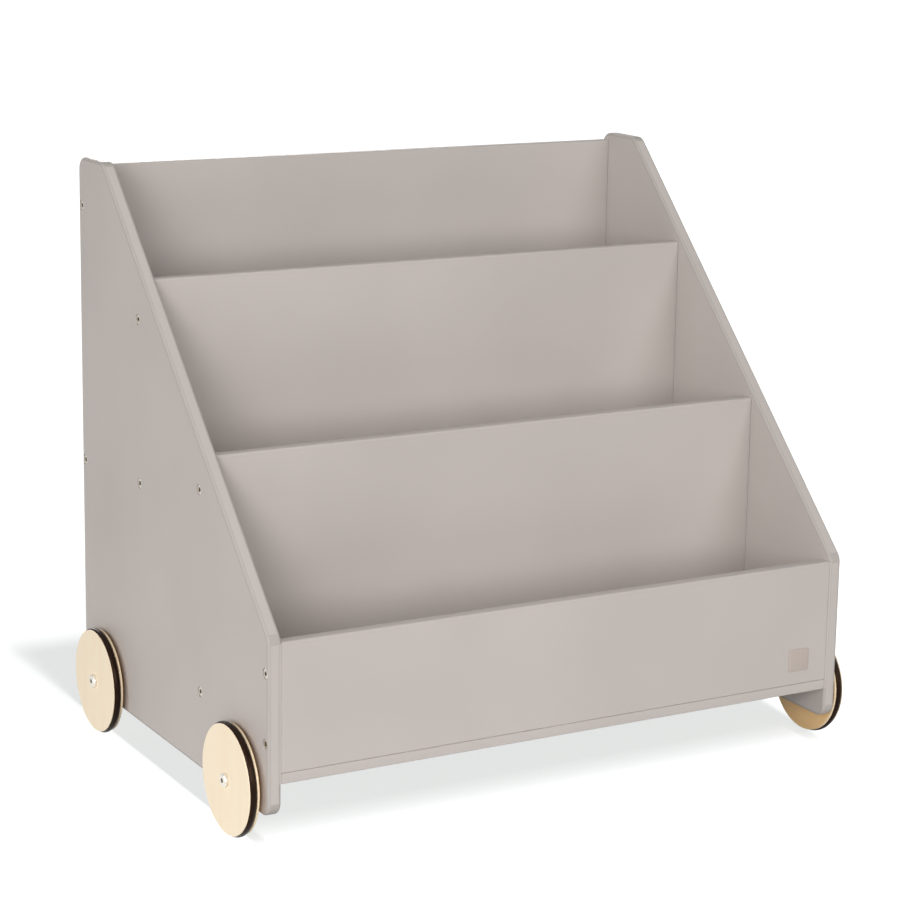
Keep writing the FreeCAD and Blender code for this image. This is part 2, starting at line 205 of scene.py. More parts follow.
def join_loops(
    shape: bmesh.types.BMesh, loops: Sequence[Sequence[bmesh.types.BMVert]]
) -> list[list[bmesh.types.BMFace]]:
    """Joins each closed loop of points to the next with a band of faces.

    Args:
        shape: the shape that they belong to.
        loops: the loops in order, all with the same number of points.

    Returns:
        The faces of each band.
    """
    count = len(loops[0])
    pairs = [(index, (index + 1) % count) for index in range(count)]
    return [
        [shape.faces.new((first[here], first[after], second[after], second[here])) for here, after in pairs]
        for first, second in zip(loops, loops[1:])
    ]


def close_ends(shape: bmesh.types.BMesh, loops: Sequence[Sequence[bmesh.types.BMVert]]) -> None:
    """Closes the last and the first of a row of joined loops with a face each."""
    shape.faces.new(loops[-1])
    shape.faces.new(list(reversed(loops[0])))


def smooth_mesh(mesh: bpy.types.Mesh, sharp_degrees: float) -> None:
    """Shades a mesh smooth, except across edges sharper than an angle."""
    mesh.shade_smooth()
    mesh.set_sharp_from_angle(angle=math.radians(sharp_degrees))


def weigh_normals(piece: bpy.types.Object) -> None:
    """Keeps large flat faces flat in the shading beside their small roundings."""
    modifier = piece.modifiers.new("flat_faces_stay_flat", "WEIGHTED_NORMAL")
    modifier.keep_sharp = True


# Finishes. Where a finish has limits, its pattern goes from nothing at the first to its full effect at the second


@dataclass(frozen=True)
class Finish:
    """A surface finish: its material's name, and the record's slot for it."""

    name: str
    slot: str

    def material(self) -> bpy.types.Material:
        """Returns the finish's material, made at its first use."""
        return bpy.data.materials.get(self.name) or self.make()

    def make(self) -> bpy.types.Material:
        """Makes the material."""
        raise NotImplementedError

    def start(self) -> tuple[AddNode, Any]:
        """Starts the material.

        Returns:
            The function that adds its nodes, and the outputs of its texture coordinates.
        """
        add = empty_tree(bpy.data.materials.new(self.name))
        return add, add("ShaderNodeTexCoord").outputs

    def end(self, add: AddNode, sockets: dict[str, Any]) -> bpy.types.Material:
        """Adds the material's one shader.

        Args:
            add: the function that adds the material's nodes.
            sockets: the shader's sockets, each with a value or with the output that feeds it.

        Returns:
            The finished material.
        """
        shader = add("ShaderNodeBsdfPrincipled", sockets)
        add("ShaderNodeOutputMaterial", {"Surface": shader.outputs["BSDF"]})
        return bpy.data.materials[self.name]


@dataclass(frozen=True)
class SatinLacquer(Finish):
    """Warm grey satin lacquer sprayed on MDF: even, softly shining, with a faint orange peel."""

    colour: str = "#C4BCB7"
    cloud_colour: str = "#BFB7B2"
    # Painted shade for the roundings, which these lamps light more than the faces
    arris_painted_shade_colour: str = "#B2ABA6"
    shine: float = 0.15
    roughness_low: float = 0.38
    roughness_high: float = 0.47
    arris_roughness: float = 0.7
    cloud_size: float = 0.16
    cloud_limits: tuple[float, float] = (0.35, 0.65)
    # Orange peel is 1 to 2 mm across; drawn at 2.5 mm so that it shows
    peel_size: float = 0.0025
    peel_height: float = 0.000035
    peel_strength: float = 0.35

    def make(self) -> bpy.types.Material:
        """Makes the material from clouds of tone, painted shade and more roughness on the roundings, and the orange
        peel.

        Returns:
            The material.
        """
        add, coordinates = self.start()
        place = coordinates["Object"]
        clouds = add("ShaderNodeTexNoise", {"Vector": place, "Scale": 1 / self.cloud_size, "Detail": 2.0})
        start, full = self.cloud_limits
        cloud = add("ShaderNodeMapRange", {"Value": clouds.outputs["Fac"], "From Min": start, "From Max": full})
        # The roundings get painted shade, a little darker than the faces, and are rougher so they shine less
        arris = add("ShaderNodeAttribute", attribute_name="arris").outputs["Fac"]
        tone = linear(self.colour)
        for share, colour in ((cloud.outputs[0], self.cloud_colour), (arris, self.arris_painted_shade_colour)):
            tone = add(
                "ShaderNodeMix", {MIX_FACTOR: share, MIX_A: tone, MIX_B: linear(colour)}, data_type="RGBA"
            ).outputs[MIX_RESULT]
        roughness = add(
            "ShaderNodeMapRange",
            {"Value": clouds.outputs["Fac"], "To Min": self.roughness_low, "To Max": self.roughness_high},
        )
        duller = add(
            "ShaderNodeMapRange", {"Value": arris, "To Min": roughness.outputs[0], "To Max": self.arris_roughness}
        )
        peel = add("ShaderNodeTexNoise", {"Vector": place, "Scale": 1 / self.peel_size, "Detail": 1.0})
        bump = add(
            "ShaderNodeBump",
            {"Height": peel.outputs["Fac"], "Strength": self.peel_strength, "Distance": self.peel_height},
        )
        sockets = {
            "Base Color": tone,
            "Roughness": duller.outputs[0],
            "Normal": bump.outputs["Normal"],
            "IOR": 1.5,
            "Specular IOR Level": self.shine,
        }
        return self.end(add, sockets)


@dataclass(frozen=True)
class BirchPlywood(Finish):
    """Birch plywood under clear lacquer: cream face veneer with fine grain, a deeper tan on the faces towards the
    trolley, and stripes of plies on the rim."""

    colour: str = "#FDECD0"
    grain_colour: str = "#F4DAB2"
    figure_colour: str = "#FCE8CA"
    back_colour: str = "#F9CF95"
    end_grain_colour: str = "#E0BF8C"
    ply_colour: str = "#F3DFC0"
    shine: float = 0.3
    coat: float = 0.1
    coat_roughness: float = 0.3
    roughness_low: float = 0.36
    roughness_high: float = 0.52
    # Birch pores are 0.1 mm wide; the streaks of grain that show are about 1 mm apart and 40 mm long
    grain_width: float = 0.0011
    grain_length: float = 0.04
    grain_height: float = 0.00006
    grain_strength: float = 0.25
    streak_limits: tuple[float, float] = (0.45, 0.75)
    streak_share: float = 0.2
    figure_width: float = 0.014
    figure_length: float = 0.12
    figure_limits: tuple[float, float] = (0.4, 0.7)
    ply_thickness: float = 0.0013
    # The plies' edges, as shares of a ply
    ply_limits: tuple[float, float] = (0.42, 0.58)
    # How squarely a surface faces along the axle where the rim gives way to the veneer
    face_limits: tuple[float, float] = (0.5, 0.9)

    def make(self) -> bpy.types.Material:
        """Makes the material from the veneers' grain and figure, and the plies of the rim.

        Returns:
            The material.
        """
        add, coordinates = self.start()
        place = coordinates["Object"]
        stretch = add(
            "ShaderNodeMapping",
            {"Vector": place, "Scale": (1 / self.figure_width, 1 / self.grain_width, 1 / self.grain_length)},
        )
        grain = add(
            "ShaderNodeTexNoise", {"Vector": stretch.outputs[0], "Scale": 1.0, "Detail": 3.0, "Roughness": 0.6}
        ).outputs["Fac"]
        start, full = self.streak_limits
        streak = add("ShaderNodeMapRange", {"Value": grain, "From Min": start, "From Max": full})
        broad = add(
            "ShaderNodeMapping",
            {"Vector": place, "Scale": (1 / self.figure_width, 1 / self.figure_width, 1 / self.figure_length)},
        )
        figure = add(
            "ShaderNodeTexNoise", {"Vector": broad.outputs[0], "Scale": 1.0, "Detail": 2.0, "Distortion": 0.4}
        )
        start, full = self.figure_limits
        wave = add("ShaderNodeMapRange", {"Value": figure.outputs["Fac"], "From Min": start, "From Max": full})
        fibres = add("ShaderNodeMath", {0: streak.outputs[0], 1: self.streak_share}, operation="MULTIPLY")
        back = add("ShaderNodeAttribute", attribute_name="back_veneer")
        layers = (
            (wave.outputs[0], self.figure_colour),
            (fibres.outputs[0], self.grain_colour),
            (back.outputs["Fac"], self.back_colour),
        )
        veneer = linear(self.colour)
        for share, colour in layers:
            veneer = add(
                "ShaderNodeMix", {MIX_FACTOR: share, MIX_A: veneer, MIX_B: linear(colour)}, data_type="RGBA"
            ).outputs[MIX_RESULT]
        # Plies lie square to X, every second one with its end grain outwards
        across = add("ShaderNodeSeparateXYZ", {"Vector": place})
        plies = add("ShaderNodeMath", {0: across.outputs["X"], 1: self.ply_thickness}, operation="PINGPONG")
        start, full = (self.ply_thickness * limit for limit in self.ply_limits)
        turn = add("ShaderNodeMapRange", {"Value": plies.outputs[0], "From Min": start, "From Max": full})
        rim = add(
            "ShaderNodeMix",
            {MIX_FACTOR: turn.outputs[0], MIX_A: linear(self.ply_colour), MIX_B: linear(self.end_grain_colour)},
            data_type="RGBA",
        ).outputs[MIX_RESULT]
        normal = add("ShaderNodeSeparateXYZ", {"Vector": coordinates["Normal"]})
        facing = add("ShaderNodeMath", {0: normal.outputs["X"]}, operation="ABSOLUTE")
        start, full = self.face_limits
        is_face = add("ShaderNodeMapRange", {"Value": facing.outputs[0], "From Min": start, "From Max": full})
        tone = add("ShaderNodeMix", {MIX_FACTOR: is_face.outputs[0], MIX_A: rim, MIX_B: veneer}, data_type="RGBA")
        roughness = add(
            "ShaderNodeMapRange", {"Value": grain, "To Min": self.roughness_low, "To Max": self.roughness_high}
        )
        bump = add("ShaderNodeBump", {"Height": grain, "Strength": self.grain_strength, "Distance": self.grain_height})
        sockets = {
            "Base Color": tone.outputs[MIX_RESULT],
            "Roughness": roughness.outputs[0],
            "Normal": bump.outputs["Normal"],
            "IOR": 1.5,
            "Specular IOR Level": self.shine,
            "Coat Weight": self.coat,
            "Coat Roughness": self.coat_roughness,
        }
        return self.end(add, sockets)


@dataclass(frozen=True)
class BlackRubber(Finish):
    """Moulded black rubber: brownish black, softly shining where it is stretched over the rim."""

    colour: str = "#20140F"
    dust_colour: str = "#2C1E17"
    # Oil in the rubber warms its shine
    shine_tint: str = "#F0C8A8"
    shine: float = 0.12
    roughness_low: float = 0.12
    roughness_high: float = 0.32
    dust_size: float = 0.006
    dust_height: float = 0.00005
    dust_strength: float = 0.2
    dust_limits: tuple[float, float] = (0.45, 0.8)
    dust_share: float = 0.7

    def make(self) -> bpy.types.Material:
        """Makes the material from a pattern of fine dust.

        Returns:
            The material.
        """
        add, coordinates = self.start()
        dust = add(
            "ShaderNodeTexNoise", {"Vector": coordinates["Object"], "Scale": 1 / self.dust_size, "Detail": 4.0}
        ).outputs["Fac"]
        start, full = self.dust_limits
        share = add(
            "ShaderNodeMapRange", {"Value": dust, "From Min": start, "From Max": full, "To Max": self.dust_share}
        )
        tone = add(
            "ShaderNodeMix",
            {MIX_FACTOR: share.outputs[0], MIX_A: linear(self.colour), MIX_B: linear(self.dust_colour)},
            data_type="RGBA",
        )
        roughness = add(
            "ShaderNodeMapRange", {"Value": dust, "To Min": self.roughness_low, "To Max": self.roughness_high}
        )
        bump = add("ShaderNodeBump", {"Height": dust, "Strength": self.dust_strength, "Distance": self.dust_height})
        sockets = {
            "Base Color": tone.outputs[MIX_RESULT],
            "Roughness": roughness.outputs[0],
            "Normal": bump.outputs["Normal"],
            "IOR": 1.52,
            "Specular IOR Level": self.shine,
            "Specular Tint": linear(self.shine_tint),
        }
        return self.end(add, sockets)


@dataclass(frozen=True)
class BrightMetal(Finish):
    """A plated metal: one colour, with fine tool marks that spread its shine."""

    colour: str = "#F0EBE1"
    mark_colour: str = "#D8D2C8"
    # Painted shade inside a fastener's socket
    socket_shade_colour: str = "#C4BBAF"
    roughness_low: float = 0.26
    roughness_high: float = 0.42
    mark_size: float = 0.0012
    mark_limits: tuple[float, float] = (0.45, 0.75)

    def make(self) -> bpy.types.Material:
        """Makes the material from tool marks, and the painted shade that darkens a fastener's socket.

        Returns:
            The material.
        """
        add, coordinates = self.start()
        marks = add(
            "ShaderNodeTexNoise", {"Vector": coordinates["Object"], "Scale": 1 / self.mark_size, "Detail": 3.0}
        ).outputs["Fac"]
        start, full = self.mark_limits
        worn = add("ShaderNodeMapRange", {"Value": marks, "From Min": start, "From Max": full})
        # The socket's faces take painted shade
        recess = add("ShaderNodeAttribute", attribute_name="recess")
        tone = linear(self.colour)
        for share, colour in ((worn.outputs[0], self.mark_colour), (recess.outputs["Fac"], self.socket_shade_colour)):
            tone = add(
                "ShaderNodeMix", {MIX_FACTOR: share, MIX_A: tone, MIX_B: linear(colour)}, data_type="RGBA"
            ).outputs[MIX_RESULT]
        roughness = add(
            "ShaderNodeMapRange", {"Value": marks, "To Min": self.roughness_low, "To Max": self.roughness_high}
        )
        return self.end(add, {"Base Color": tone, "Roughness": roughness.outputs[0], "Metallic": 1.0})


@dataclass(frozen=True)
class MouldedPlastic(Finish):
    """Moulded plastic: an even colour with a fine eroded grain."""

    colour: str = "#EDEBE4"
    shade_colour: str = "#E0DDD3"
    roughness: float = 0.4
    grain_size: float = 0.0008
    grain_height: float = 0.00003
    grain_strength: float = 0.2

    def make(self) -> bpy.types.Material:
        """Makes the material from the mould's eroded grain.

        Returns:
            The material.
        """
        add, coordinates = self.start()
        grain = add(
            "ShaderNodeTexNoise", {"Vector": coordinates["Object"], "Scale": 1 / self.grain_size, "Detail": 2.0}
        ).outputs["Fac"]
        tone = add(
            "ShaderNodeMix",
            {MIX_FACTOR: grain, MIX_A: linear(self.colour), MIX_B: linear(self.shade_colour)},
            data_type="RGBA",
        )
        bump = add("ShaderNodeBump", {"Height": grain, "Strength": self.grain_strength, "Distance": self.grain_height})
        sockets = {
            "Base Color": tone.outputs[MIX_RESULT],
            "Roughness": self.roughness,
            "Normal": bump.outputs["Normal"],
            "IOR": 1.53,
        }
        return self.end(add, sockets)


@dataclass(frozen=True)
class TurnedBeech(Finish):
    """Turned beech dowel: pinkish tan, with the grain along X."""

    colour: str = "#D9B48C"
    grain_colour: str = "#C0936A"
    roughness: float = 0.6
    grain_width: float = 0.0008
    grain_length: float = 0.02

    def make(self) -> bpy.types.Material:
        """Makes the material from grain along X.

        Returns:
            The material.
        """
        add, coordinates = self.start()
        stretch = add(
            "ShaderNodeMapping",
            {
                "Vector": coordinates["Object"],
                "Scale": (1 / self.grain_length, 1 / self.grain_width, 1 / self.grain_width),
            },
        )
        grain = add("ShaderNodeTexNoise", {"Vector": stretch.outputs[0], "Scale": 1.0, "Detail": 3.0})
        tone = add(
            "ShaderNodeMix",
            {MIX_FACTOR: grain.outputs["Fac"], MIX_A: linear(self.colour), MIX_B: linear(self.grain_colour)},
            data_type="RGBA",
        )
        return self.end(add, {"Base Color": tone.outputs[MIX_RESULT], "Roughness": self.roughness, "IOR": 1.5})


LACQUER = SatinLacquer("satin_lacquer_on_mdf", "painted_mdf")
PLYWOOD = BirchPlywood("clear_lacquered_birch_plywood", "birch_plywood")
RUBBER = BlackRubber("moulded_black_rubber", "black_rubber")
ZINC = BrightMetal("zinc_plated_steel_bright", "zinc_plated_steel")
NYLON = MouldedPlastic("moulded_white_nylon", "white_nylon")
BEECH = TurnedBeech("turned_beech_dowel", "beech")
PLATE_PLASTIC = MouldedPlastic(
    "domed_taupe_plastic", "", colour="#B9ACA4", shade_colour="#B2A59D", grain_size=0.002, roughness=0.22
)


# Geometry trees


def start_tree(name: str, inputs: dict[str, str]) -> tuple[bpy.types.NodeTree, AddNode, Any]:
    """Starts a geometry tree.

    Args:
        name: the tree's name.
        inputs: the named inputs after the geometry, each with its socket type.

    Returns:
        The tree, the function that adds its nodes, and the outputs of its input node.
    """
    tree = bpy.data.node_groups.new(name, "GeometryNodeTree")
    for socket, kind in {"Geometry": "NodeSocketGeometry", **inputs}.items():
        tree.interface.new_socket(name=socket, in_out="INPUT", socket_type=kind)
    tree.interface.new_socket(name="Geometry", in_out="OUTPUT", socket_type="NodeSocketGeometry")
    add = partial(add_node, tree)
    return tree, add, add("NodeGroupInput").outputs


def end_tree(add: AddNode, geometry: bpy.types.NodeSocket, finish: bpy.types.NodeSocket) -> None:
    """Closes a geometry tree with real geometry that has its material.

    Args:
        add: the function that adds the tree's nodes.
        geometry: the output with the geometry.
        finish: the output with the material.
    """
    real = add("GeometryNodeRealizeInstances", {"Geometry": geometry})
    dressed = add("GeometryNodeSetMaterial", {"Geometry": real.outputs[0], "Material": finish})
    add("NodeGroupOutput", {0: dressed.outputs[0]})


def turned_ring_tree() -> bpy.types.NodeTree:
    """Makes the tree that turns a closed section round an axle along X, at its first use.

    Returns:
        The tree. Its section is a loop of edges, with X out from the section's radius and Y towards -X.
    """
    name = "turned_ring"
    known = bpy.data.node_groups.get(name)
    if known:
        return known
    tree, add, given = start_tree(
        name,
        {
            "Centre": "NodeSocketVector",
            "Section Radius": "NodeSocketFloat",
            "Segments": "NodeSocketInt",
            "Finish": "NodeSocketMaterial",
        },
    )
    section = add("GeometryNodeMeshToCurve", {"Mesh": given["Geometry"]})
    circle = add(
        "GeometryNodeCurvePrimitiveCircle",
        {"Resolution": given["Segments"], "Radius": given["Section Radius"]},
        mode="RADIUS",
    )
    upright = add("GeometryNodeSetCurveNormal", {"Curve": circle.outputs["Curve"]}, mode="Z_UP")
    ring = add("GeometryNodeCurveToMesh", {"Curve": upright.outputs[0], "Profile Curve": section.outputs[0]})
    placed = add(
        "GeometryNodeTransform",
        {"Geometry": ring.outputs[0], "Translation": given["Centre"], "Rotation": (0.0, math.pi / 2, 0.0)},
    )
    end_tree(add, placed.outputs[0], given["Finish"])
    return tree


def fastener_tree() -> bpy.types.NodeTree:
    """Makes the tree that sets a fastener at each point, its head towards the side that the point names.

    Returns:
        The tree. Its points hold the attribute side, -1 or 1, and each fastener is turned by chance about X.
    """
    tree, add, given = start_tree(
        "fasteners_through_the_sides",
        {
            "Fastener": "NodeSocketObject",
            "Largest Turn": "NodeSocketFloat",
            "Seed": "NodeSocketInt",
            "Finish": "NodeSocketMaterial",
        },
    )
    fastener = add("GeometryNodeObjectInfo", {"Object": given["Fastener"]})
    side = add("GeometryNodeInputNamedAttribute", {"Name": "side"}, data_type="FLOAT")
    half_turn = add(
        "ShaderNodeMath", {0: side.outputs["Attribute"], 1: math.pi / 2, 2: math.pi / 2}, operation="MULTIPLY_ADD"
    )
    chance = add(
        "FunctionNodeRandomValue",
        {RANDOM_MIN: 0.0, RANDOM_MAX: given["Largest Turn"], "Seed": given["Seed"]},
        data_type="FLOAT",
    )
    turn = add("ShaderNodeCombineXYZ", {"X": chance.outputs[RANDOM_RESULT], "Z": half_turn.outputs[0]})
    placed = add(
        "GeometryNodeInstanceOnPoints",
        {"Points": given["Geometry"], "Instance": fastener.outputs["Geometry"], "Rotation": turn.outputs[0]},
    )
    end_tree(add, placed.outputs[0], given["Finish"])
    return tree


def grow(carrier: bpy.types.Object, tree: bpy.types.NodeTree, values: dict[str, Any]) -> None:
    """Runs a geometry tree on an object and keeps the result as its plain mesh.

    Args:
        carrier: the object whose mesh feeds the tree.
        tree: the geometry tree.
        values: a value for each of the tree's named inputs.
    """
    modifier = carrier.modifiers.new(tree.name, "NODES")
    modifier.node_group = tree
    sockets = {
        item.name: item.identifier
        for item in tree.interface.items_tree
        if item.item_type == "SOCKET" and item.in_out == "INPUT"
    }
    for name, value in values.items():
        modifier[sockets[name]] = value
    graph = bpy.context.evaluated_depsgraph_get()
    graph.update()
    mesh = bpy.data.meshes.new_from_object(carrier.evaluated_get(graph))
    carrier.modifiers.remove(modifier)
    carrier.data = mesh
    mesh.name = carrier.name


# Sub-assemblies


@dataclass
class Boards:
    """The lacquered boards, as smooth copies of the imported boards."""

    names: tuple[str, ...] = (
        "side_panel_left",
        "side_panel_right",
        "front_panel",
        "front_divider",
        "rear_divider",
        "back_panel",
        "bottom_board",
        "upper_floor",
    )
    weld_distance: float = 1e-6
    # Faces that lean to each other by less than this become one
    level_degrees: float = 0.5
    sharp_degrees: float = 50.0
    # A face whose normal is this near to an axis is one of the board's flats
    flat_cosine: float = 0.999
    # The normal of a sloping edge: next to nothing along X, and this much along Y
    slope_across: float = 0.01
    slope_forwards: tuple[float, float] = (0.2, 0.98)
    # How much painted shade each board's roundings take in the lacquer, the side panels' most
    side_rounding_shade: float = 1.0
    board_rounding_shade: float = 0.25

    def build(self) -> None:
        """Makes and dresses every board."""
        for name in self.names:
            self.board(name)

    def board(self, name: str) -> None:
        """Copies one packed board, merged and smooth, and marks its roundings for the lacquer's painted shade.

        Args:
            name: the board's CAD node.
        """
        mesh = frame["nodes"][name].data.copy()
        mesh.name = f"{name}_lacquered"
        shape = merged_shape(mesh, self.weld_distance)
        bmesh.ops.dissolve_limit(
            shape,
            angle_limit=math.radians(self.level_degrees),
            verts=shape.verts,
            edges=shape.edges,
            use_dissolve_boundaries=False,
        )
        flats = [Vector((1, 0, 0)), Vector((0, 1, 0)), Vector((0, 0, 1)), self.slope_normal(shape)]
        # Each rounding's share of painted shade in the lacquer
        layer = shape.faces.layers.float.new("arris")
        shade_share = self.side_rounding_shade if name.startswith("side_panel") else self.board_rounding_shade
        for face in shape.faces:
            flat = any(abs(face.normal.dot(axis)) > self.flat_cosine for axis in flats)
            face[layer] = 0.0 if flat else shade_share
        shape.to_mesh(mesh)
        shape.free()
        if mesh.has_custom_normals:
            # Zeros give the normals that the faces themselves have
            bpy.context.view_layer.update()
            mesh.normals_split_custom_set([(0.0, 0.0, 0.0)] * len(mesh.loops))
        smooth_mesh(mesh, self.sharp_degrees)
        mesh.materials.clear()
        mesh.materials.append(LACQUER.material())
        piece = link_object(mesh.name, mesh)
        weigh_normals(piece)
        finish_piece(piece, ROOT_BODY, [name])

    def slope_normal(self, shape: bmesh.types.BMesh) -> Vector:
        """Finds the normal of a side panel's sloping front edge, or of the largest face where there is none.

        Args:
            shape: the board.

        Returns:
            The normal.
        """
        least, most = self.slope_forwards
        leaning = [
            face
            for face in shape.faces
            if abs(face.normal.x) < self.slope_across and least < abs(face.normal.y) < most
        ]
        return max(leaning or list(shape.faces), key=lambda face: face.calc_area()).normal.copy()


@dataclass
class LacquerBeads:
    """The lacquer that fills the rounded corner where a board's end meets the edge of a side panel."""

    # Boards whose outer face is flush with the side panels' edges, and the way that face looks along Y
    boards: tuple[tuple[str, int], ...] = (("front_panel", -1), ("back_panel", 1))
    rounding: float = 2.5 * MM
    start_depth: float = 0.06 * MM
    joint_depth: float = 0.3 * MM
    back_depth: float = 2 * MM
    # How far below the board's top a bead ends
    top_gap: float = 1.5 * MM

    def build(self) -> None:
        """Makes all the beads, as one piece."""
        shape = bmesh.new()
        for board, facing in self.boards:
            low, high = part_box(board)
            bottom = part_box("bottom_board")[0].z if board == "front_panel" else low.z
            face = low.y if facing < 0 else high.y
            for side in Side:
                joint = low.x if side is Side.LEFT else high.x
                self.bead(shape, side.value, joint, facing, face, (bottom, high.z - self.top_gap))
        mesh = end_shape(shape, bpy.data.meshes.new("lacquer_in_the_joints"))
        mesh.materials.append(LACQUER.material())
        finish_piece(link_object(mesh.name, mesh), ROOT_BODY)

    def bead(
        self,
        shape: bmesh.types.BMesh,
        outwards: int,
        joint: float,
        facing: int,
        face: float,
        heights: tuple[float, float],
    ) -> None:
        """Adds one upright bead.

        Args:
            shape: the shape that it goes into.
            outwards: the sign of X towards the side panel.
            joint: where the board's end is, along X.
            facing: the sign of Y that the board's outer face looks along.
            face: where that face is, along Y.
            heights: the bead's bottom and top.
        """
        centre_depth = self.rounding - self.start_depth
        start = self.rounding - math.sqrt(self.rounding ** 2 - centre_depth ** 2)
        section = (
            (joint + outwards * start, face - facing * self.start_depth),
            (joint, face - facing * self.joint_depth),
            (joint, face - facing * self.back_depth),
        )
        ends = [[shape.verts.new((across, depth, height)) for across, depth in section] for height in heights]
        join_loops(shape, ends)
        close_ends(shape, ends)


@dataclass
class SocketFastener:
    """A turned fastener whose head has a hexagon socket; its head faces -X and its shank runs along +X."""

    name: str
    # Each step of the outside, from the head's face to the tip: along X and out from the axis
    outline: tuple[tuple[float, float], ...]
    socket_width: float
    socket_depth: float
    # The drill's point is this much deeper than the socket
    drill_share: float = 1.25
    segments: int = 48

    def prototype(self) -> bpy.types.Object:
        """Builds the fastener once, at the origin.

        Returns:
            The fastener.
        """
        shape = bmesh.new()
        rings = [self.ring(shape, depth, self.socket_reach) for depth in (self.socket_depth, 0.0)]
        rings += [self.ring(shape, along, lambda _: out) for along, out in self.outline]
        # The socket's faces are marked for the metal's painted shade
        recess = shape.faces.layers.float.new("recess")
        inside = join_loops(shape, rings)[0]
        inside += self.fan(shape, rings[0], self.socket_depth * self.drill_share)
        self.fan(shape, rings[-1], self.outline[-1][0])
        for face in inside:
            face[recess] = 1.0
        return link_object(self.name, end_shape(shape, bpy.data.meshes.new(self.name)))

    def ring(
        self, shape: bmesh.types.BMesh, along: float, reach: Callable[[float], float]
    ) -> list[bmesh.types.BMVert]:
        """Adds a ring of points about the axis.

        Args:
            shape: the shape that it goes into.
            along: where it is along X.
            reach: how far out a point is at each angle.

        Returns:
            Its points, in order.
        """
        angles = [math.tau * index / self.segments for index in range(self.segments)]
        return [
            shape.verts.new((along, reach(angle) * math.cos(angle), reach(angle) * math.sin(angle)))
            for angle in angles
        ]

    def fan(
        self, shape: bmesh.types.BMesh, ring: Sequence[bmesh.types.BMVert], along: float
    ) -> list[bmesh.types.BMFace]:
        """Closes a ring with triangles to a point on the axis.

        Args:
            shape: the shape that they go into.
            ring: the ring.
            along: where the point is along X.

        Returns:
            The triangles.
        """
        tip = shape.verts.new((along, 0.0, 0.0))
        return [shape.faces.new((ring[i], ring[(i + 1) % self.segments], tip)) for i in range(self.segments)]

    def socket_reach(self, angle: float) -> float:
        """Returns how far the socket's hexagon is from the axis at an angle."""
        sixth = math.tau / 6
        return self.socket_width / 2 / math.cos((angle + sixth / 2) % sixth - sixth / 2)


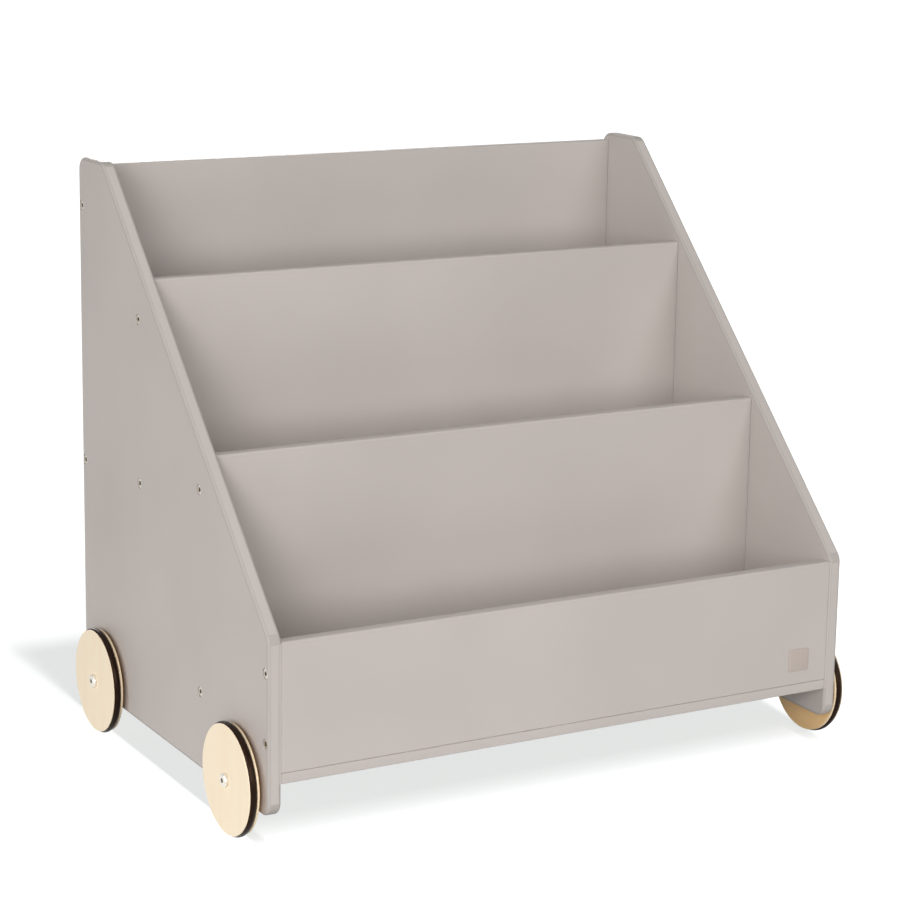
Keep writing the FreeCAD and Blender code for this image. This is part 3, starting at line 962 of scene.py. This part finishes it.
@dataclass
class Fasteners:
    """The panel screws through the side panels, and the axle bolts of the wheels."""

    screw_groups: tuple[str, ...] = (
        "front_panel_screws",
        "front_divider_screws",
        "rear_divider_screws",
        "back_panel_screws",
    )
    socket_width: float = 4 * MM
    screw_socket_depth: float = 2.4 * MM
    screw_head_radius: float = 4.5 * MM
    screw_head_arris: float = 0.25 * MM
    # Where the arris passes its corner, as a share of it
    arris_middle: float = 0.3
    screw_neck_radius: float = 3 * MM
    screw_core_radius: float = 2.5 * MM
    screw_rim: float = 0.5 * MM
    screw_neck_end: float = 10.4 * MM
    screw_length: float = 50 * MM
    screw_point: float = 1 * MM
    thread_pitch: float = 2.5 * MM
    thread_depth: float = 0.45 * MM
    # The crest and the foot of each ridge, as shares of the pitch
    thread_crest: float = 0.4
    thread_foot: float = 0.8
    bolt_socket_depth: float = 2 * MM
    bolt_face_radius: float = 3.6 * MM
    bolt_head_radius: float = 6 * MM
    bolt_head_height: float = 3 * MM
    bolt_rim_height: float = 1.1 * MM
    bolt_shank_radius: float = 3 * MM
    bolt_length: float = 28 * MM
    bolt_chamfer: float = 0.8 * MM
    dome_steps: int = 8
    sharp_degrees: float = 32.0
    # A socket of six sides looks the same after a sixth of a turn
    largest_turn: float = math.tau / 6
    seed: int = 7

    def build(self) -> None:
        """Makes the screws and the bolts, one piece of each kind."""
        tree = fastener_tree()
        screw = SocketFastener(
            "panel_screw_pattern", self.screw_outline(), self.socket_width, self.screw_socket_depth
        )
        self.scatter("panel_screws", screw, self.screw_places(), tree, list(self.screw_groups))
        bolt = SocketFastener("axle_bolt_pattern", self.bolt_outline(), self.socket_width, self.bolt_socket_depth)
        self.scatter("axle_bolts", bolt, self.bolt_places(), tree, [f"axle_bolt_{corner}" for corner in CORNERS])

    def screw_outline(self) -> tuple[tuple[float, float], ...]:
        """Draws the screw's outside: flat countersunk head, neck, and a core with ridges for its thread.

        Returns:
            Each step of the outside, along X and out from the axis.
        """
        head, neck, arris = self.screw_head_radius, self.screw_neck_radius, self.screw_head_arris
        root = self.screw_core_radius - self.thread_depth
        points = [
            (0.0, head - arris),
            (arris * self.arris_middle, head - arris * self.arris_middle),
            (arris, head),
            (self.screw_rim, head),
            (self.screw_rim + head - neck, neck),
            (self.screw_neck_end, neck),
            (self.screw_neck_end, root),
        ]
        turns = int((self.screw_length - self.screw_neck_end) / self.thread_pitch) - 1
        for turn in range(turns):
            start = self.screw_neck_end + (turn + 0.5) * self.thread_pitch
            points += [
                (start, root),
                (start + self.thread_pitch * self.thread_crest, self.screw_core_radius),
                (start + self.thread_pitch * self.thread_foot, root),
            ]
        return (*points, (self.screw_length, self.screw_point))

    def bolt_outline(self) -> tuple[tuple[float, float], ...]:
        """Draws the bolt's outside: a low dome over a short rim, and a plain shank.

        Returns:
            Each step of the outside, along X and out from the axis.
        """
        dome_height = self.bolt_head_height - self.bolt_rim_height
        dome_width = self.bolt_head_radius - self.bolt_face_radius
        angles = [math.pi / 2 * step / self.dome_steps for step in range(self.dome_steps + 1)]
        return (
            *((dome_height * (1 - math.cos(a)), self.bolt_face_radius + dome_width * math.sin(a)) for a in angles),
            (self.bolt_head_height, self.bolt_head_radius),
            (self.bolt_head_height, self.bolt_shank_radius),
            (self.bolt_length - self.bolt_chamfer, self.bolt_shank_radius),
            (self.bolt_length, self.bolt_shank_radius - self.bolt_chamfer),
        )

    def screw_places(self) -> list[tuple[Vector, Side]]:
        """Finds the middle of each screw's face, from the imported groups.

        Returns:
            Each middle, with the side that the screw is on.
        """
        places = []
        for group in self.screw_groups:
            low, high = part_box(group)
            depth = (low.y + high.y) / 2
            for height in (low.z + self.screw_head_radius, high.z - self.screw_head_radius):
                places.append((Vector((low.x, depth, height)), Side.LEFT))
                places.append((Vector((high.x, depth, height)), Side.RIGHT))
        return places

    def bolt_places(self) -> list[tuple[Vector, Side]]:
        """Finds the middle of each bolt head's outer end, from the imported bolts.

        Returns:
            Each middle, with the side that the bolt is on.
        """
        places = []
        for corner in CORNERS:
            low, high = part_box(f"axle_bolt_{corner}")
            middle = (low + high) / 2
            side = Side.LEFT if middle.x < 0 else Side.RIGHT
            middle.x = low.x if side is Side.LEFT else high.x
            places.append((middle, side))
        return places

    def scatter(
        self,
        name: str,
        fastener: SocketFastener,
        places: list[tuple[Vector, Side]],
        tree: bpy.types.NodeTree,
        nodes: list[str],
    ) -> None:
        """Sets a fastener at each of its places, as one piece.

        Args:
            name: the piece's name.
            fastener: the fastener.
            places: where the heads are, and on which side.
            tree: the tree that sets them.
            nodes: the CAD nodes that the piece stands for.
        """
        pattern = fastener.prototype()
        mesh = bpy.data.meshes.new(name)
        mesh.from_pydata([place for place, _ in places], [], [])
        attribute = mesh.attributes.new("side", "FLOAT", "POINT")
        attribute.data.foreach_set("value", [float(side.value) for _, side in places])
        piece = link_object(name, mesh)
        values = {
            "Fastener": pattern,
            "Largest Turn": self.largest_turn,
            "Seed": self.seed,
            "Finish": ZINC.material(),
        }
        grow(piece, tree, values)
        bpy.data.objects.remove(pattern)
        smooth_mesh(piece.data, self.sharp_degrees)
        finish_piece(piece, ROOT_BODY, nodes)


@dataclass
class Wheel:
    """One wheel: a plywood disc with a groove near its outer face, and the rubber ring in it."""

    corner: str
    bore_radius: float = 5.55 * MM
    bore_arris: float = 0.3 * MM
    rim_arris: float = 0.6 * MM
    groove_arris: float = 0.15 * MM
    groove_depth: float = 2 * MM
    groove_gap: float = 0.05 * MM
    arris_steps: int = 4
    ring_inner_radius: float = 44.55 * MM
    crown_steps: int = 16
    segments: int = 160
    weld_distance: float = 1e-7
    disc_sharp_degrees: float = 40.0
    ring_sharp_degrees: float = 60.0
    # A face whose normal is this near to the axle belongs to one of the disc's two veneers
    veneer_cosine: float = 0.9

    def build(self) -> None:
        """Makes the disc and its ring."""
        self.disc()
        self.ring()

    def place(self, node: str) -> tuple[Vector, float, float]:
        """Finds a packed ring's centre, its width along X and its radius."""
        low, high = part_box(node)
        return (low + high) / 2, high.x - low.x, (high.y - low.y) / 2

    def turn(
        self, name: str, points: list[Vector], centre: Vector, finish: Finish, node: str, sharp: float
    ) -> bpy.types.Mesh:
        """Turns a section round the axle and hands the piece to the frame.

        Args:
            name: the piece's name.
            points: the section, across from the centre and out from the axle.
            centre: the middle of the piece, on the axle.
            finish: what it is made of.
            node: the CAD node that it stands for.
            sharp: the angle in degrees above which an edge stays sharp.

        Returns:
            The piece's mesh.
        """
        count = len(points)
        middle_radius = sum(point[1] for point in points) / count
        section = bpy.data.meshes.new(name)
        section.from_pydata(
            [(point[1] - middle_radius, -point[0], 0.0) for point in points],
            [(index, (index + 1) % count) for index in range(count)],
            [],
        )
        piece = link_object(name, section)
        values = {
            "Centre": centre,
            "Section Radius": middle_radius,
            "Segments": self.segments,
            "Finish": finish.material(),
        }
        grow(piece, turned_ring_tree(), values)
        mesh = end_shape(merged_shape(piece.data, self.weld_distance), piece.data)
        smooth_mesh(mesh, sharp)
        weigh_normals(piece)
        finish_piece(piece, f"{self.corner}_wheel", [node])
        return mesh

    def rounded(self, corners: Sequence[tuple[float, float, float]]) -> list[Vector]:
        """Rounds the corners of a closed section.

        Args:
            corners: the corners in order, each as across, out, and how far from it its rounding starts.

        Returns:
            The points of the rounded section, in order.
        """
        points = []
        for index, (across, out, radius) in enumerate(corners):
            here = Vector((across, out))
            before = (Vector(corners[index - 1][:2]) - here).normalized()
            after = (Vector(corners[(index + 1) % len(corners)][:2]) - here).normalized()
            if not radius:
                points.append(here)
                continue
            for step in range(self.arris_steps + 1):
                share = step / self.arris_steps
                points.append(here + before * radius * (1 - share) ** 2 + after * radius * share ** 2)
        return points

    def disc(self) -> None:
        """Turns the plywood disc."""
        node = f"wheel_disc_{self.corner}"
        centre, width, radius = self.place(node)
        ring_centre, ring_width, _ = self.place(f"tyre_{self.corner}")
        start = ring_centre.x - centre.x - ring_width / 2 - self.groove_gap
        end = ring_centre.x - centre.x + ring_width / 2 + self.groove_gap
        floor = radius - self.groove_depth
        points = self.rounded(
            (
                (-width / 2, self.bore_radius, self.bore_arris),
                (-width / 2, radius, self.rim_arris),
                (start, radius, self.groove_arris),
                (start, floor, 0.0),
                (end, floor, 0.0),
                (end, radius, self.groove_arris),
                (width / 2, radius, self.rim_arris),
                (width / 2, self.bore_radius, self.bore_arris),
            )
        )
        mesh = self.turn(f"{node}_turned", points, centre, PLYWOOD, node, self.disc_sharp_degrees)
        inwards = -1.0 if centre.x > 0 else 1.0
        back = mesh.attributes.new("back_veneer", "FLOAT", "FACE")
        back.data.foreach_set(
            "value", [float(face.normal.x * inwards > self.veneer_cosine) for face in mesh.polygons]
        )

    def ring(self) -> None:
        """Turns the rubber ring, half round where it meets the floor."""
        node = f"tyre_{self.corner}"
        centre, width, radius = self.place(node)
        crown = width / 2
        points = [Vector((-crown, self.ring_inner_radius)), Vector((-crown, radius - crown))]
        for step in range(1, self.crown_steps):
            angle = math.pi * step / self.crown_steps
            points.append(Vector((-crown * math.cos(angle), radius - crown + crown * math.sin(angle))))
        points += [Vector((crown, radius - crown)), Vector((crown, self.ring_inner_radius))]
        self.turn(f"{node}_stretched", points, centre, RUBBER, node, self.ring_sharp_degrees)


@dataclass
class BadgePlate:
    """The bare plate low on the right of the front panel, softly domed, with nothing on it."""

    left: float = 229.5 * MM
    width: float = 22 * MM
    bottom: float = 78.2 * MM
    height: float = 20.5 * MM
    corner_radius: float = 2.2 * MM
    # How fast a loop's corners tighten with its inset, and the least share of the radius that they keep
    corner_tightening: float = 0.15
    least_corner: float = 0.3
    rim_thickness: float = 0.56 * MM
    dome_thickness: float = 1.3 * MM
    # How far to the middle the dome's loops go, and how they crowd towards the rim
    dome_reach: float = 0.8
    crowding: float = 1.6
    corner_steps: int = 8
    dome_loops: int = 6
    sharp_degrees: float = 45.0

    def build(self) -> None:
        """Makes the plate on the front panel's face."""
        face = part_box("front_panel")[0].y
        centre = Vector((self.left + self.width / 2, face, self.bottom + self.height / 2))
        shape = bmesh.new()
        loops = [self.loop(shape, centre, 0.0, rise) for rise in (0.0, self.rim_thickness)]
        reach = min(self.width, self.height) / 2 * self.dome_reach
        for step in range(1, self.dome_loops + 1):
            share = step / self.dome_loops
            dome = (self.dome_thickness - self.rim_thickness) * math.sin(share * math.pi / 2)
            loops.append(self.loop(shape, centre, reach * share ** self.crowding, self.rim_thickness + dome))
        join_loops(shape, loops)
        close_ends(shape, loops)
        mesh = end_shape(shape, bpy.data.meshes.new("bare_badge_plate"))
        smooth_mesh(mesh, self.sharp_degrees)
        mesh.materials.append(PLATE_PLASTIC.material())
        finish_piece(link_object(mesh.name, mesh), ROOT_BODY)

    def loop(self, shape: bmesh.types.BMesh, centre: Vector, inset: float, rise: float) -> list[bmesh.types.BMVert]:
        """Adds a rounded rectangle of points.

        Args:
            shape: the shape that it goes into.
            centre: the middle of the plate's back.
            inset: how far inside the plate's outline it lies.
            rise: how far in front of the plate's back it lies.

        Returns:
            Its points, in order.
        """
        radius = max(self.corner_radius - inset * self.corner_tightening, self.corner_radius * self.least_corner)
        half_width = self.width / 2 - inset - radius
        half_height = self.height / 2 - inset - radius
        loop = []
        for quarter, (right, up) in enumerate(((1, 1), (-1, 1), (-1, -1), (1, -1))):
            for step in range(self.corner_steps + 1):
                angle = math.pi / 2 * (quarter + step / self.corner_steps)
                across = right * half_width + radius * math.cos(angle)
                upwards = up * half_height + radius * math.sin(angle)
                loop.append(shape.verts.new(centre + Vector((across, -rise, upwards))))
        return loop


@dataclass
class HiddenHardware:
    """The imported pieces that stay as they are, with their real finishes."""

    finishes: tuple[tuple[str, Finish], ...] = (
        ("axle_insert_", ZINC),
        ("axle_sleeve_", ZINC),
        ("axle_spacer_", NYLON),
        ("wheel_bush_", NYLON),
        ("bottom_board_dowels", BEECH),
        ("upper_floor_dowels", BEECH),
    )

    def build(self) -> None:
        """Gives each of these nodes its material."""
        for name, node in frame["nodes"].items():
            for start, finish in self.finishes:
                if name.startswith(start):
                    for slot in node.material_slots:
                        slot.material = finish.material()
                    LOG.info("%s is finished in %s", name, finish.name)


# Studio


@dataclass(frozen=True)
class Softbox:
    """A square soft lamp: where it hangs, the length of its sides and its power in watts."""

    name: str
    place: tuple[float, float, float]
    size: float
    watts: float


@dataclass(frozen=True)
class FloorLamp:
    """A lamp that lights the floor alone: where it hangs and its size."""

    name: str
    place: tuple[float, float, float]
    size: tuple[float, float]


@dataclass
class Studio:
    """A plain white floor, soft even light and the photograph's viewpoint."""

    camera_place: tuple[float, float, float] = (-1.12643, -1.98287, 0.79516)
    # The camera's angles in degrees: right of straight back, down, and about its own line of sight
    yaw: float = 29.390
    pitch: float = 12.281
    roll: float = -0.893
    focal_pixels: float = 2598.63
    picture_pixels: int = 900
    # The row of the picture that the lens looks at; its distance from the middle is the lens shift
    optical_row: float = 412.0
    sensor: float = 36.0
    # The surround looks white, but gives next to no light
    sky_level: float = 0.02
    # How much of the bright surround shows in reflections
    mirror_share: float = 0.66
    floor_size: float = 30.0
    # The floor's colour for the light it throws back is a painted pool of light: bright near the trolley and falling
    # off, so the sides get more light low down than at the top
    floor_albedo: float = 0.2
    far_albedo: float = 0.02
    pool_start: float = 0.7
    pool_end: float = 1.9
    softboxes: tuple[Softbox, ...] = (
        Softbox("front_softbox", (0.6, -2.7, 1.15), 2.0, 41.0),
        Softbox("front_left_softbox", (-2.3, -2.55, 1.15), 1.5, 65.0),
        Softbox("left_softbox", (-2.6, -0.2, 0.8), 1.4, 24.5),
        Softbox("right_softbox", (2.8, 0.3, 0.8), 1.4, 26.0),
        Softbox("rear_softbox", (0.5, 2.7, 1.2), 1.6, 45.0),
        Softbox("top_softbox", (0.0, 0.0, 2.8), 1.6, 12.0),
    )
    softbox_aim: tuple[float, float, float] = (0.0, 0.0, 0.25)
    # Two lamps light the floor alone. The floor is full white where either reaches it, so the shadow that shows
    # is what both leave: short behind the trolley and a little wider than it for the high lamp, set back with a
    # soft edge in front for the strip
    floor_lamps: tuple[FloorLamp, ...] = (
        FloorLamp("high_floor_lamp", (-0.25, -1.715, 5.0), (0.5, 0.5)),
        FloorLamp("floor_strip", (-0.2, -2.52, 2.93), (0.35, 1.9)),
    )
    floor_lamp_level: float = 1.0
    # What the eye sees of the floor: a slightly cool glow, the colour of the full shadow, and the grey on which
    # each lamp's light brings that to white
    glow_colour: tuple[float, float, float, float] = (0.752, 0.768, 0.76, 1.0)
    lit_grey: tuple[float, float, float, float] = (0.28, 0.28, 0.28, 1.0)
    # Away from the trolley the floor glows by itself, so it stays white where the lamps no longer reach
    glow_start: float = 1.2
    glow_end: float = 3.5
    far_glow: float = 1.4
    # The wheels are too thin and too near the floor for a soft shadow, so only the boards cast one
    shadowless: tuple[str, ...] = ("wheel_", "tyre_", "axle_")

    def build(self) -> None:
        """Sets the camera, the floor, the sky and the lamps."""
        self.camera()
        floor = self.floor()
        self.sky()
        for softbox in self.softboxes:
            self.hang(softbox, floor)
        self.light_floor(floor)
        bpy.context.scene.view_settings.view_transform = "Standard"

    def camera(self) -> None:
        """Places the camera where the photograph was taken from."""
        yaw, pitch, roll = (math.radians(angle) for angle in (self.yaw, self.pitch, self.roll))
        forward = Vector((math.sin(yaw) * math.cos(pitch), math.cos(yaw) * math.cos(pitch), -math.sin(pitch)))
        right = Vector((math.cos(yaw), -math.sin(yaw), 0.0))
        down = forward.cross(right)
        turned_right = right * math.cos(roll) + down * math.sin(roll)
        turned_down = down * math.cos(roll) - right * math.sin(roll)
        turned = Matrix((turned_right, -turned_down, -forward)).transposed().to_4x4()
        data = bpy.data.cameras.new("viewpoint")
        data.sensor_width = self.sensor
        data.lens = self.focal_pixels / self.picture_pixels * self.sensor
        data.shift_y = (self.optical_row - self.picture_pixels / 2) / self.picture_pixels
        camera = link_object("viewpoint", data)
        camera.matrix_world = Matrix.Translation(self.camera_place) @ turned
        bpy.context.scene.camera = camera
        LOG.info("camera at %s with a %.2f mm lens", self.camera_place, data.lens)

    def seen_directly(self, add: AddNode) -> bpy.types.NodeSocket:
        """Makes a factor that is 1 for rays to the eye or through glass, and less for those by way of a mirror.

        Args:
            add: the function that adds nodes to its tree.

        Returns:
            The output with the factor.
        """
        rays = add("ShaderNodeLightPath").outputs
        mirrored = add("ShaderNodeMath", {0: rays["Is Glossy Ray"], 1: self.mirror_share}, operation="MULTIPLY")
        seen = add("ShaderNodeMath", {0: rays["Is Camera Ray"], 1: rays["Is Transmission Ray"]}, operation="MAXIMUM")
        both = add("ShaderNodeMath", {0: seen.outputs[0], 1: mirrored.outputs[0]}, operation="MAXIMUM")
        return both.outputs[0]

    def floor(self) -> bpy.types.Object:
        """Lays the floor: white to the eye, with the trolley's shadow kept faint and slightly cool.

        Returns:
            The floor.
        """
        mesh = bpy.data.meshes.new("studio_floor")
        half = self.floor_size / 2
        mesh.from_pydata([(-half, -half, 0), (half, -half, 0), (half, half, 0), (-half, half, 0)], [], [(0, 1, 2, 3)])
        material = bpy.data.materials.new("white_studio_floor")
        add = empty_tree(material)
        place = add("ShaderNodeTexCoord").outputs["Object"]
        distance = add("ShaderNodeVectorMath", {0: place}, operation="LENGTH").outputs["Value"]
        # Painted pool of light: the floor's colour for the light it throws back is brightest near the trolley
        pool = add(
            "ShaderNodeMapRange",
            {
                "Value": distance,
                "From Min": self.pool_start,
                "From Max": self.pool_end,
                "To Min": self.floor_albedo,
                "To Max": self.far_albedo,
            },
            interpolation_type="SMOOTHSTEP",
        )
        lighting = add("ShaderNodeBsdfDiffuse", {"Color": pool.outputs[0]})
        shaded = add("ShaderNodeBsdfDiffuse", {"Color": self.lit_grey})
        whiteness = add(
            "ShaderNodeMapRange",
            {
                "Value": distance,
                "From Min": self.glow_start,
                "From Max": self.glow_end,
                "To Min": 1.0,
                "To Max": self.far_glow,
            },
        )
        glow = add("ShaderNodeEmission", {"Color": self.glow_colour, "Strength": whiteness.outputs[0]})
        seen = add("ShaderNodeAddShader", {0: shaded.outputs[0], 1: glow.outputs[0]})
        mix = add("ShaderNodeMixShader", {0: self.seen_directly(add), 1: lighting.outputs[0], 2: seen.outputs[0]})
        add("ShaderNodeOutputMaterial", {"Surface": mix.outputs[0]})
        mesh.materials.append(material)
        floor = link_object("studio_floor", mesh)
        return floor

    def sky(self) -> None:
        """Surrounds the trolley with even light that looks white."""
        world = bpy.data.worlds.new("even_white_surround")
        add = empty_tree(world)
        light = add("ShaderNodeBackground", {"Color": WHITE, "Strength": self.sky_level})
        white = add("ShaderNodeBackground", {"Color": WHITE, "Strength": 1.0})
        mix = add("ShaderNodeMixShader", {0: self.seen_directly(add), 1: light.outputs[0], 2: white.outputs[0]})
        add("ShaderNodeOutputWorld", {"Surface": mix.outputs[0]})
        bpy.context.scene.world = world

    def hang(self, softbox: Softbox, floor: bpy.types.Object) -> None:
        """Hangs a softbox that faces the middle of the trolley and lights all but the floor.

        Args:
            softbox: the softbox.
            floor: the studio's floor.
        """
        data = bpy.data.lights.new(softbox.name, "AREA")
        data.shape = "SQUARE"
        data.size = softbox.size
        data.energy = softbox.watts
        self.add_lamp(data, softbox.place, Vector(self.softbox_aim) - Vector(softbox.place), floor, "EXCLUDE")

    def light_floor(self, floor: bpy.types.Object) -> None:
        """Adds the lamps that light the floor alone, past the wheels.

        Args:
            floor: the studio's floor.
        """
        passed = bpy.data.collections.new("floor_lamps_pass_by")
        for piece in bpy.data.objects:
            if piece.name.startswith(self.shadowless):
                passed.objects.link(piece)
        for link in passed.collection_objects:
            link.light_linking.link_state = "EXCLUDE"
        for floor_lamp in self.floor_lamps:
            data = bpy.data.lights.new(floor_lamp.name, "AREA")
            data.shape = "ELLIPSE" if floor_lamp.size[0] == floor_lamp.size[1] else "RECTANGLE"
            data.size, data.size_y = floor_lamp.size
            away = Vector(floor_lamp.place)
            # With this power a lamp gives the middle of the floor the same light from any place
            data.energy = self.floor_lamp_level * math.pi ** 2 * away.length ** 3 / away.z
            lamp = self.add_lamp(data, floor_lamp.place, -away, floor, "INCLUDE")
            lamp.light_linking.blocker_collection = passed

    def add_lamp(
        self,
        data: bpy.types.Light,
        place: tuple[float, float, float],
        aim: Vector,
        floor: bpy.types.Object,
        floor_state: str,
    ) -> bpy.types.Object:
        """Puts a lamp into the scene.

        Args:
            data: the lamp.
            place: where it is.
            aim: the direction of its light.
            floor: the studio's floor.
            floor_state: INCLUDE lights the floor alone, and EXCLUDE lights all but the floor.

        Returns:
            The lamp's object.
        """
        lamp = link_object(data.name, data)
        lamp.matrix_world = Matrix.Translation(place) @ aim.to_track_quat("-Z", "Y").to_matrix().to_4x4()
        receivers = bpy.data.collections.new(f"{data.name}_receivers")
        receivers.objects.link(floor)
        receivers.collection_objects[0].light_linking.link_state = floor_state
        lamp.light_linking.receiver_collection = receivers
        return lamp


def main() -> None:
    """Builds every sub-assembly and then the studio."""
    logging.basicConfig(level=logging.INFO, format="%(message)s")
    Boards().build()
    LacquerBeads().build()
    for corner in CORNERS:
        Wheel(corner).build()
    Fasteners().build()
    BadgePlate().build()
    HiddenHardware().build()
    Studio().build()


if __name__ == "__main__":
    main()
